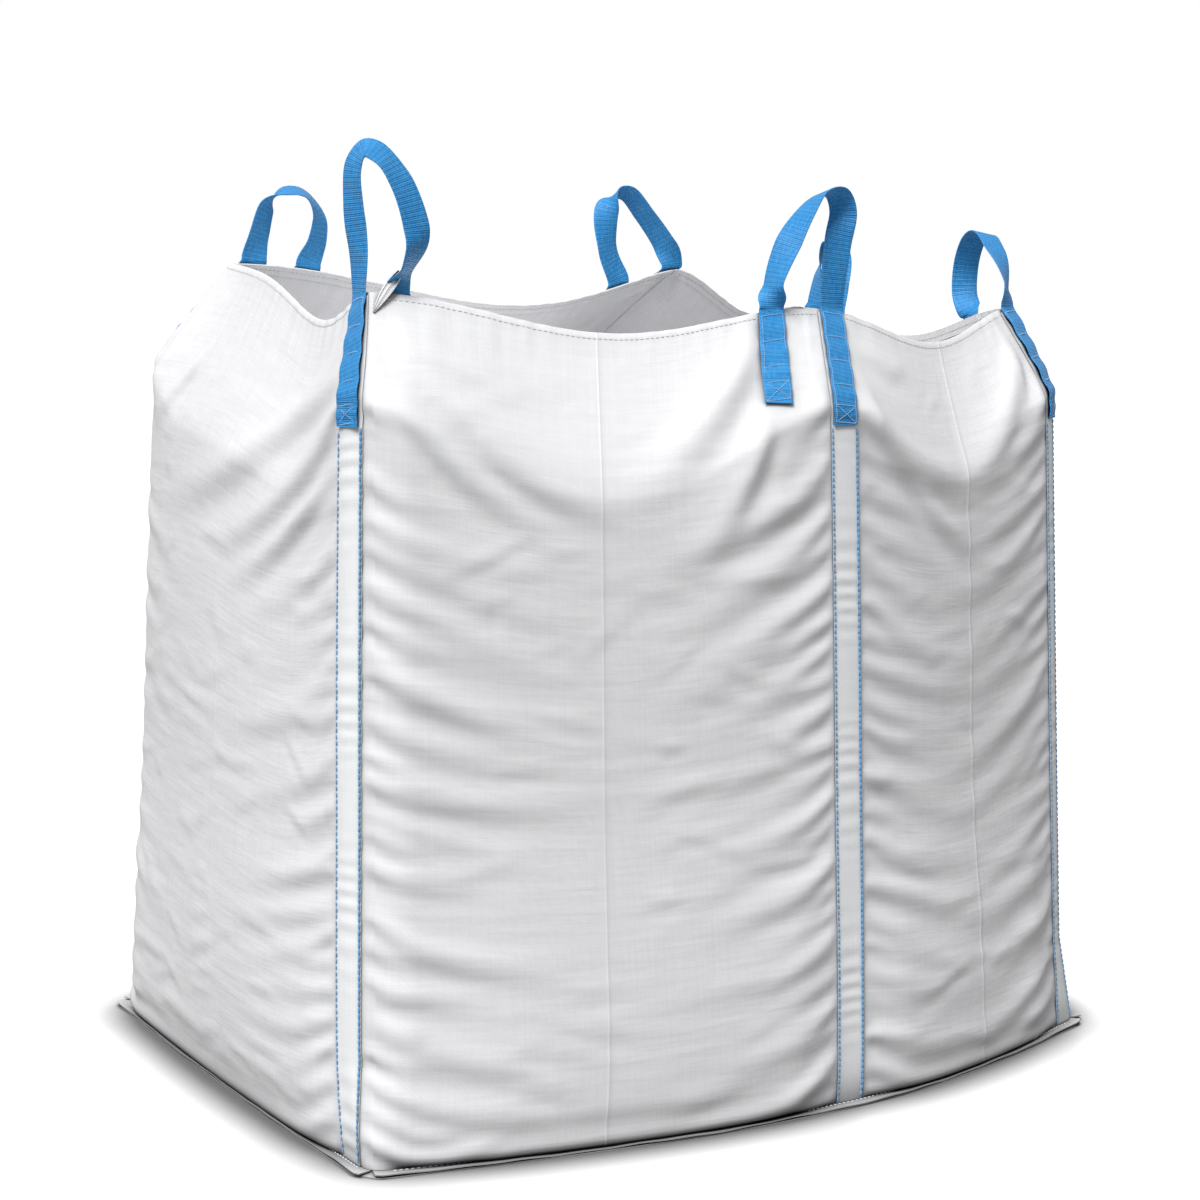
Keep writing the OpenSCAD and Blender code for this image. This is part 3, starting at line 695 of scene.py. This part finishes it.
# ---- reinforcement strips and their two lines of chain stitch ----
STITCH_PITCH = 8.7
strips, strip_threads = [], []
for i, u0 in enumerate(U_STRIP):
    t = np.linspace(0.001, 0.996, 300)
    across = np.linspace(-STRIP_WIDTH / 2, STRIP_WIDTH / 2, 11)
    phase = rng.uniform(0, 6, 3)
    z = t * WALL_HEIGHT
    pucker = 0.75 * np.sin(z / 4.1 + 2 * np.sin(z / 31 + phase[0])) * (0.5 + 0.5 * np.sin(z / 47 + phase[1]))
    lift = 1 - (np.abs(across) / (STRIP_WIDTH / 2)) ** 2
    d = 0.5 * lift[None] + pucker[:, None] * (0.4 + 0.6 * lift[None])
    tt, aa = np.meshgrid(t, across, indexing="ij")
    outer = beside(u0, aa, tt, STRIP_OUT - 0.3 + d)
    inner = beside(u0, aa, tt, 0.9 + 0 * d)
    uv = np.stack([aa, tt * WALL_HEIGHT], -1)
    strip = shell("tape_" + LOOP_NAMES[i], outer, inner, uv, TAPE, "bag")
    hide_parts("strip_" + LOOP_NAMES[i])
    strips.append(strip)
    # Stitches: a fine dashed line on one edge, the wide looped side of the chain on the other.
    top = below(u0, LONG_LEG + 4)
    count = round((top - 0.004) * WALL_HEIGHT / STITCH_PITCH)
    ts = np.linspace(0.004, top, count + 1)
    parts_dark, parts_pale = [], []
    for way, radius, fill in ((-1, 0.85, 0.74), (1, 1.45, 1.06)):
        x = way * (STRIP_WIDTH / 2 - 2.2)
        a = beside(u0, x, ts[:-1], STRIP_OUT + 0.1)
        b = beside(u0, x, ts[:-1] + (ts[1] - ts[0]) * fill, STRIP_OUT + 0.1)
        out = unit(beside(u0, x, ts[:-1], 9.0) - a)
        parts_dark.append(stitches(a, b, out, radius))
        x = way * (STRIP_WIDTH / 2 - 2.2) - 1.9
        a = beside(u0, x, ts[:-1], STRIP_OUT - 0.35)
        b = beside(u0, x, ts[1:], STRIP_OUT - 0.35)
        parts_pale.append(stitches(a, b, out, 0.75, 0.1))
    v, f, uv = join(parts_dark)
    n_dark = len(f)
    v, f, uv = join([(v, f, uv)] + parts_pale)
    thr = put("chain_stitch_" + LOOP_NAMES[i], v, f, uv, STRIP_THREAD, "bag")
    thr.data.materials.append(STRIP_CHAIN)
    index = np.zeros(len(thr.data.polygons), int)
    index[n_dark:] = 1
    thr.data.polygons.foreach_set("material_index", index)
    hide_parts("strip_thread_" + LOOP_NAMES[i])
    strip_threads.append(thr)


# ---- lifting loops: one length of webbing each, sewn on at both legs ----
LEG_END = 5   # from a leg's last row of stitches to its end
LEG_PUFF = 1.9


def cross_rows(length):
    """Stitch rows across a leg, as distances below the rim; the last two are the box's."""
    plain = int((length - BOX_SIZE - LEG_END - 2 * HEM_STITCH) // CROSS_PITCH) + 1
    box = length - LEG_END - BOX_SIZE
    return [HEM_STITCH + r * CROSS_PITCH for r in range(plain)] + [box, box + BOX_SIZE]


def leg_offset(y, length, sign):
    """The webbing puffs between its stitch rows and is pinched at each of them."""
    rows = np.array(cross_rows(length))
    d = np.abs(y[:, None] - rows[None]).min(1)
    return sign * ((LEG_MID if sign > 0 else INSIDE_MID) - 0.4 + LEG_PUFF * smooth(d / 20))


def leg_frames(u0, length, sign):
    """Middle line of a leg from its end up to the rim, and the direction of its width."""
    y = np.linspace(length, 0, int(length / 2))
    t = 1 - y * (1 - below(u0, 1.0))
    d = leg_offset(y, length, sign)
    return beside(u0, 0.0, t, d), unit(beside(u0, 8.0, t, d) - beside(u0, -8.0, t, d))


# The free part of each loop: points (along the rim, up) in mm from the long leg's top, and the turn
# of its width at shares of its length: degrees from the line between the feet, and degrees up.
LOOP_LINES = [
    [(0, 50), (-6, 110), (-6, 160), (10, 186), (36, 176), (60, 144), (76, 100), (80, 66), (68, 34)],
    [(-3, 40), (-10, 90), (-18, 130), (-6, 157), (22, 155), (55, 119), (80, 79), (99, 35)],
    [(3, 25), (22, 66), (52, 105), (86, 128), (126, 118), (152, 80), (156, 32)],
    [(8, 45), (22, 88), (44, 114), (64, 92), (64, 45)],
    [(8, 24), (27, 60), (54, 104), (84, 139), (112, 136), (126, 104), (122, 46)],
    [(10, 42), (25, 88), (54, 111), (85, 106), (104, 72), (100, 34)]]
LOOP_TURNS = [
    [(0.2, -32, 0), (0.4, -46, -20), (0.5, -85, -46), (0.62, -125, -20), (0.78, -140, 0), (0.93, -97, 0)],
    [(0.25, -22, 0), (0.42, -60, -10), (0.52, -80, -20), (0.75, -50, 0), (0.93, -84, 0)],
    [(0.08, -28, 0), (0.3, -68, 0), (0.5, -90, -15), (0.75, -112, 0), (0.94, -122, 0)],
    [(0.2, -20, 0), (0.5, -90, 0), (0.8, -160, 0)],
    [(0.12, -45, 0), (0.38, -68, -15), (0.52, -85, -35), (0.66, -20, 0), (0.8, 12, 0), (0.93, 8, 0)],
    [(0.1, 24, 0), (0.3, 38, 0), (0.45, 85, 20), (0.55, 85, 20), (0.75, 40, 0), (0.9, 24, 0)]]


def loop_path(i):
    """Middle line of a whole loop with both legs, its width's direction, and its two feet."""
    ul, us = U_STRIP[i], U_SHORT[i]
    inside = -1 if i == 0 else 1
    a = skin(ul, 1.0, LEG_MID) + [0, 0, HINGE_LIFT]
    b = skin(us, 1.0, LEG_MID if inside > 0 else -INSIDE_MID) + [0, 0, HINGE_LIFT]
    f = unit(np.array([b[0] - a[0], b[1] - a[1], 0]))
    inner = [a + f * x + [0, 0, z] + (b - a) * [0, 0, np.clip(x / 60, 0, 1)] for x, z in LOOP_LINES[i]]
    line = np.concatenate([[a - [0, 0, 20]], [a], inner, [b], [b - [0, 0, 20]]])
    k = np.linspace(1, len(line) - 2.001, 240)
    j = k.astype(int)
    e = (k - j)[:, None]
    p0, p1, p2, p3 = line[j - 1], line[j], line[j + 1], line[np.minimum(j + 2, len(line) - 1)]
    mid = 0.5 * (2 * p1 + (p2 - p0) * e + (2 * p0 - 5 * p1 + 4 * p2 - p3) * e ** 2
                 + (3 * p1 - p0 - 3 * p2 + p3) * e ** 3)
    walk = np.concatenate([[0], np.cumsum(np.linalg.norm(np.diff(mid, axis=0), axis=1))])
    k = walk / walk[-1]
    m1, w1 = leg_frames(ul, LONG_LEG, 1)
    m2, w2 = leg_frames(us, SHORT_LEG, inside)
    ahead = math.atan2(f[1], f[0])
    half_turn = lambda x: (x + math.pi / 2) % math.pi - math.pi / 2
    ks, qs, tips = np.array(LOOP_TURNS[i]).T
    qs = ahead + np.radians(qs)
    start = qs[0] + half_turn(math.atan2(w1[-1][1], w1[-1][0]) - qs[0])
    end = qs[-1] + half_turn(math.atan2(w2[-1][1], w2[-1][0]) - qs[-1])
    q = np.interp(k, np.concatenate([[0], ks, [1]]), np.concatenate([[start], qs, [end]]))
    q = blur(q[:, None], 9)[:, 0]
    tip = blur(np.radians(np.interp(k, ks, tips))[:, None], 9)[:, 0]
    w = np.stack([np.cos(q) * np.cos(tip), np.sin(q) * np.cos(tip), np.sin(tip)], -1)
    w1 = w1 * np.sign((w1[-1] * w[0]).sum())
    w2 = w2 * np.sign((w2[-1] * w[-1]).sum())
    return np.concatenate([m1, mid, m2[::-1]]), np.concatenate([w1, w, w2[::-1]]), a, b


def resample(mids, wids, step):
    """The same line in even steps."""
    d = np.concatenate([[0], np.cumsum(np.linalg.norm(np.diff(mids, axis=0), axis=1))])
    s = np.linspace(0, d[-1], round(d[-1] / step) + 1)
    get = lambda g: np.stack([np.interp(s, d, g[:, c]) for c in range(3)], 1)
    return s, get(mids), unit(get(wids))


def blur(g, width):
    """Evens out rows of g over width steps on each side."""
    k = np.exp(-np.linspace(-2.5, 2.5, 2 * width + 1) ** 2)
    k /= k.sum()
    pad = np.concatenate([2 * g[:1] - g[width:0:-1], g, 2 * g[-1:] - g[-2:-width - 2:-1]])
    return np.stack([np.convolve(pad[:, c], k, "valid") for c in range(g.shape[1])], 1)


RIB = 2.8  # pitch of the webbing's ribs
for i, name in enumerate(LOOP_NAMES):
    mids, wids, a, b = loop_path(i)
    s, mids, wids = resample(mids, wids, RIB / 4)
    mids, wids = blur(mids, 8), unit(blur(wids, 15))
    tangent = unit(np.gradient(mids, axis=0))
    wids = unit(wids - tangent * (wids * tangent).sum(-1, keepdims=True))
    nor = np.cross(tangent, wids)
    x = np.array([-1, -0.985, -0.93, -0.7, -0.35, 0, 0.35, 0.7, 0.93, 0.985, 1.0])
    thick = WEB_THICK / 2 * np.array([0.25, 0.72, 1.05, 0.95, 0.95, 0.95, 0.95, 0.95, 1.05, 0.72, 0.25])
    rib = 0.90 + 0.10 * np.cos(2 * math.pi * s / RIB)
    half = WEB_WIDTH / 2 * (1 + 0.006 * np.sin(s / 37 + i))
    base = mids[:, None] + wids[:, None] * (x[None, :, None] * half[:, None, None])
    h = (thick[None] * rib[:, None])[..., None] * nor[:, None]
    uv = grid_uv(x * 20 + 50, s[:, None], (len(s), len(x)))
    web = shell("webbing_" + name, base + h, base - h, uv, WEBBING, None, 60)
    axis = unit(b - a)
    up = unit(np.array([0, 0, 1]) - axis * axis[2])
    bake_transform(web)
    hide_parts("loop_" + name, "long_leg_" + name, "short_leg_" + name)
    # Stitching of both legs: rows across, a border, and a crossed box at the end.
    parts = []
    for u0, length, sign in ((U_STRIP[i], LONG_LEG, 1), (U_SHORT[i], SHORT_LEG, -1 if i == 0 else 1)):
        per = 1 - below(u0, 1.0)

        def seam(x0, y0, x1, y1):
            """A row of stitches on this leg."""
            n = max(2, round(math.hypot(x1 - x0, y1 - y0) / 3.4))
            k = np.linspace(0, 1, n + 1)
            xs, ys = mix(x0, x1, k), mix(y0, y1, k)
            d = leg_offset(ys, length, sign) + sign * (WEB_THICK / 2 + 0.15)
            p = np.array([beside(u0, xx, 1 - yy * per, dd) for xx, yy, dd in zip(xs, ys, d)])
            q = np.array([beside(u0, xx, 1 - yy * per, dd + sign * 5) for xx, yy, dd in zip(xs, ys, d)])
            st, en = p[:-1], mix(p[:-1], p[1:], 0.8)
            parts.append(stitches(st, en, unit(q - p)[:-1], 0.8))

        w = WEB_WIDTH / 2 - 3
        rows = cross_rows(length)
        for y in rows:
            seam(-w, y, w, y)
        seam(-w, rows[-2], w, rows[-1])
        seam(w, rows[-2], -w, rows[-1])
        seam(-w, HEM_STITCH, -w, rows[-1])
        seam(w, HEM_STITCH, w, rows[-1])
    v, f, uv = join(parts)
    thr = put("leg_stitching_" + name, v, f, uv, LEG_THREAD, "bag")
    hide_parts("leg_thread_" + name)

# ---- the twist of cloth that ties NL's short leg down to the corner ----
k = np.linspace(0, 1, 26)[:, None]
nl_foot = skin(U_SHORT[0], 1.0, -INSIDE_MID) + [0, 0, HINGE_LIFT]
start, over = nl_foot + [3, -7, 26], skin(0.016, 1.0, 3.5) + [0, 0, 5]
end = skin(0.001, below(0.001, 30), 0.9)
line = start * (1 - k) ** 2 + over * 2 * k * (1 - k) + end * k ** 2
t = unit(np.gradient(line, axis=0))
facing = unit(skin(0.03, 0.98, 1.0) - skin(0.03, 0.98))
w = unit(np.cross(t, facing))
x = np.linspace(-1, 1, 9)
half = (4.2 + 3.2 * np.sin(math.pi * k ** 0.8)) * (1 - 0.7 * k ** 5)
fold = (1.1 * np.cos(2.4 * math.pi * x)[None] * (1 - 0.5 * k))[..., None] * facing
grid = line[:, None] + w[:, None] * (x[None] * half)[..., None] + fold + 1.2 * facing
uv = grid_uv(x * 9, k * 60, grid.shape[:2])
corner_tie = shell("corner_tie", grid + SKIN * facing, grid - SKIN * facing, uv, FABRIC, "bag")

# ---- hem stitching, seen on both sides of the rim ----
parts = []
HEM_STITCHES = 620
for d, sign in ((SKIN + 0.1, 1), (-2.7, -1)):
    u = np.linspace(0.01, 3.99, HEM_STITCHES + 1)
    t = 1 - HEM_STITCH / wall_length(u)
    p, q = skin(u, t, d), skin(u, t, d + sign * 5)
    parts.append(stitches(p[:-1], mix(p[:-1], p[1:], 0.72), unit(q - p)[:-1], 0.55))
v, f, uv = join(parts)
hem_stitch = put("hem_stitching", v, f, uv, WHITE_THREAD, "bag")
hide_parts("hem_thread")

# ---- base: the bottom cloth and the seam that stands out round it ----
EAR_SHARE, EAR_REACH = 14, 3
SEAM_LEVEL = 3.8


def seam_edge(side, v, reach, ear_reach):
    """Edge of the base seam seen from above, as part.scad has it."""
    ear = lambda power: (np.clip(1 - v * EAR_SHARE, 0, 1) ** power
                         + np.clip(1 - (1 - v) * EAR_SHARE, 0, 1) ** power)
    m = TURN[side]
    to = lambda x, y: np.stack([m[0] * x + m[1] * y, m[2] * x + m[3] * y], -1)
    sides = np.full(v.shape, side)
    return body_at(sides, v, 0 * v) + to(0 * v, 0 * v + 1) * np.asarray(reach)[..., None] \
        + ear_reach * ear(1.5)[..., None] * unit(to(2 * v - 1, 0 * v + 0.8)) \
        + (0.25 * np.asarray(reach) * ear(1))[..., None] * to(np.where(v < 0.5, -1.0, 1.0), 0 * v)


seams, parts = [], []
ring = []
for side, name in enumerate(SIDES):
    cols = round(SIDE_LENGTHS[side] / 8)
    v = np.linspace(0.0006, 0.9994, cols + 1)
    wave = rng.uniform(0, 6, 3)
    run = v * SIDE_LENGTHS[side]
    ripple_z = 0.7 * np.sin(run / 34 + wave[0]) + 0.5 * np.sin(run / 13 + wave[1])
    corner = np.clip(1 - v * 9, 0, 1) + np.clip(1 - (1 - v) * 9, 0, 1)
    rows_xy, rows_z = [], []
    for r in (-0.8, 3, 8, 13, 17, SEAM_WIDTH):
        reach = r + (0.05 * r) * np.sin(run / 51 + wave[2])
        rows_xy.append(seam_edge(side, v, reach, EAR_REACH * max(r, 0) / SEAM_WIDTH))
        rows_z.append(SEAM_LEVEL + 0.03 * r + (r / SEAM_WIDTH) * (ripple_z * 0.8 + 1.5 * corner))
    grid = np.concatenate([np.stack(rows_xy), np.stack(rows_z)[..., None]], -1)
    up = np.array([0, 0, 0.9])
    uv = grid_uv(run, np.arange(6)[:, None] * 4.0, grid.shape[:2])
    seam_obj = shell(name + "_seam_band", (grid + up)[::-1], (grid - up)[::-1], uv[::-1], FABRIC, "bag")
    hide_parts(name + "_base_seam")
    seams.append(seam_obj)
    inside = np.linspace(0.02, 0.98, cols)
    xy = seam_edge(side, inside, 7.0 + 0 * inside, 0)
    zz = SEAM_LEVEL + 0.21 + 0.35 * 0.8 * np.interp(inside, v, ripple_z) + 1.1
    p = np.concatenate([xy, zz[:, None]], -1)
    parts.append(stitches(p[:-1], mix(p[:-1], p[1:], 0.72), np.tile([0, 0, 1.0], (cols - 1, 1)), 0.6))
    ring.append(seam_edge(side, np.linspace(0, 1, 60, endpoint=False), SEAM_WIDTH - 1.0, EAR_REACH))
v, f, uv = join(parts)
base_stitch = put("base_stitching", v, f, uv, WHITE_THREAD, "bag")
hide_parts("base_thread")

ring = np.concatenate(ring)
centre = ring.mean(0)
shares = np.linspace(0, 1, 25)[1:]
disc = [np.concatenate([centre, [0.0]])[None]]
for k in shares:
    p = mix(centre, ring, k)
    lump = 0.25 * np.sin(p[:, 0] / 61 + 1) * np.sin(p[:, 1] / 43)
    disc.append(np.concatenate([p, lump[:, None] * (1 - k) ** 0.5], -1))
disc = np.concatenate(disc)
n = len(ring)
faces = [[0, 1 + j, 1 + (j + 1) % n] for j in range(n)]
for r in range(len(shares) - 1):
    for j in range(n):
        a, b = 1 + r * n + j, 1 + r * n + (j + 1) % n
        faces.append([a, a + n, b + n, b])
count = len(disc)
low, high = disc + [0, 0, 0.3], disc + [0, 0, 1.7]
low[:, 2] = 0.3
last = 1 + (len(shares) - 1) * n
walls = [[last + j, last + (j + 1) % n, last + (j + 1) % n + count, last + j + count] for j in range(n)]
top = [[i + count for i in q] for q in faces]
base = put("base_cloth", np.concatenate([low, high]), [q[::-1] for q in faces] + top + walls,
           np.concatenate([disc[:, :2]] * 2), FABRIC, "bag")
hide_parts("base_panel")

# ---- the pieces listed for each wall: its hem, its strips and their stitching, and on the front the corner tie ----
on_wall = {"front": [1], "right": [2, 3], "back": [4], "left": [0, 5]}
for name in SIDES:
    extra = [hems[name]] + ([corner_tie] if name == "front" else [])
    extra += [strips[k] for k in on_wall[name]] + [strip_threads[k] for k in on_wall[name]]

# ---- floor, light and camera ----
FLOOR_TONE, SEEN_TONE = 0.2, 0.5  # what the floor reflects onto the bag, and into the camera
CONTACT_REACH = 0.075             # how far the painted contact shadow under the bag spreads
SEEN_GLOW = 0.72                  # share of the studio's white sweep in what the camera sees

bpy.ops.mesh.primitive_plane_add(size=60, location=(0, 0, 0))
floor = bpy.context.object
floor.name = "floor"
floor_mat, floor_shader = principled("floor_white", (FLOOR_TONE,) * 3, 0.9, Specular_IOR_Level=0.1)
floor_links = floor_mat.node_tree.links
# Painted contact shadow: ambient occlusion near the bag dims the floor's glow, which paints a dark line
# under it.
glow = node(floor_mat, "ShaderNodeEmission")
near = node(floor_mat, "ShaderNodeAmbientOcclusion", Distance=CONTACT_REACH)
unshadowed_share = maths(floor_mat, "MAXIMUM", maths(floor_mat, "MULTIPLY", maths(
    floor_mat, "SUBTRACT", near.outputs["AO"], 0.52), 2.08), 0.0)
floor_links.new(maths(floor_mat, "MULTIPLY", maths(floor_mat, "POWER", unshadowed_share, 1.2), 1.28),
                glow.inputs["Strength"])
to_camera = node(floor_mat, "ShaderNodeLightPath").outputs["Is Camera Ray"]
blend = node(floor_mat, "ShaderNodeMixShader")
tone = maths(floor_mat, "ADD", maths(floor_mat, "MULTIPLY", to_camera, SEEN_TONE - FLOOR_TONE), FLOOR_TONE)
floor_links.new(tone, floor_shader.inputs["Base Color"])
floor_links.new(maths(floor_mat, "MULTIPLY", to_camera, SEEN_GLOW), blend.inputs[0])
floor_links.new(floor_shader.outputs[0], blend.inputs[1])
floor_links.new(glow.outputs[0], blend.inputs[2])
floor_links.new(blend.outputs[0], floor_mat.node_tree.nodes["Material Output"].inputs["Surface"])
floor.data.materials.append(floor_mat)

scene = bpy.context.scene
scene.view_settings.view_transform = "Standard"
world = bpy.data.worlds.new("studio")
scene.world = world
world.use_nodes = True
tree = world.node_tree
sky = tree.nodes["Background"]
sky.inputs["Color"].default_value = (1, 1, 1, 1)
sky.inputs["Strength"].default_value = 0.5
seen = tree.nodes.new("ShaderNodeBackground")
seen.inputs["Color"].default_value = (1, 1, 1, 1)
seen.inputs["Strength"].default_value = 1.0
path = tree.nodes.new("ShaderNodeLightPath")
pick = tree.nodes.new("ShaderNodeMixShader")
tree.links.new(path.outputs["Is Camera Ray"], pick.inputs[0])
tree.links.new(sky.outputs[0], pick.inputs[1])
tree.links.new(seen.outputs[0], pick.inputs[2])
tree.links.new(pick.outputs[0], tree.nodes["World Output"].inputs["Surface"])


def sun(name, direction, strength, angle):
    """A sun that shines from the given direction."""
    light = bpy.data.lights.new(name, "SUN")
    light.energy = strength
    light.angle = math.radians(angle)
    obj = bpy.data.objects.new(name, light)
    scene.collection.objects.link(obj)
    d = unit(np.array(direction, float))
    obj.rotation_euler = (math.acos(d[2]), 0, math.atan2(d[0], -d[1]))


sun("key", (-0.46, -0.27, 0.83), 3.75, 26)

# Light that soaks through the thin white walls into the bag.
inner_light = bpy.data.lights.new("soaked_through", "POINT")
inner_light.energy, inner_light.shadow_soft_size = 4, 0.3
inner_lamp = bpy.data.objects.new("soaked_through", inner_light)
inner_lamp.location = (-0.2, -0.05, 0.92)
scene.collection.objects.link(inner_lamp)

AZIMUTH, TILT = math.radians(-31.7), math.radians(8.6)
DISTANCE, ASIDE, CAMERA_HEIGHT = 3.8869, 0.0073, 1.2589
cam = bpy.data.cameras.new("camera")
cam.lens, cam.sensor_width = 75, 36
camera = bpy.data.objects.new("camera", cam)
scene.collection.objects.link(camera)
camera.location = (math.sin(AZIMUTH) * DISTANCE + math.cos(AZIMUTH) * ASIDE,
                   -math.cos(AZIMUTH) * DISTANCE + math.sin(AZIMUTH) * ASIDE, CAMERA_HEIGHT)
camera.rotation_euler = (math.pi / 2 - TILT, 0, AZIMUTH)
scene.camera = camera
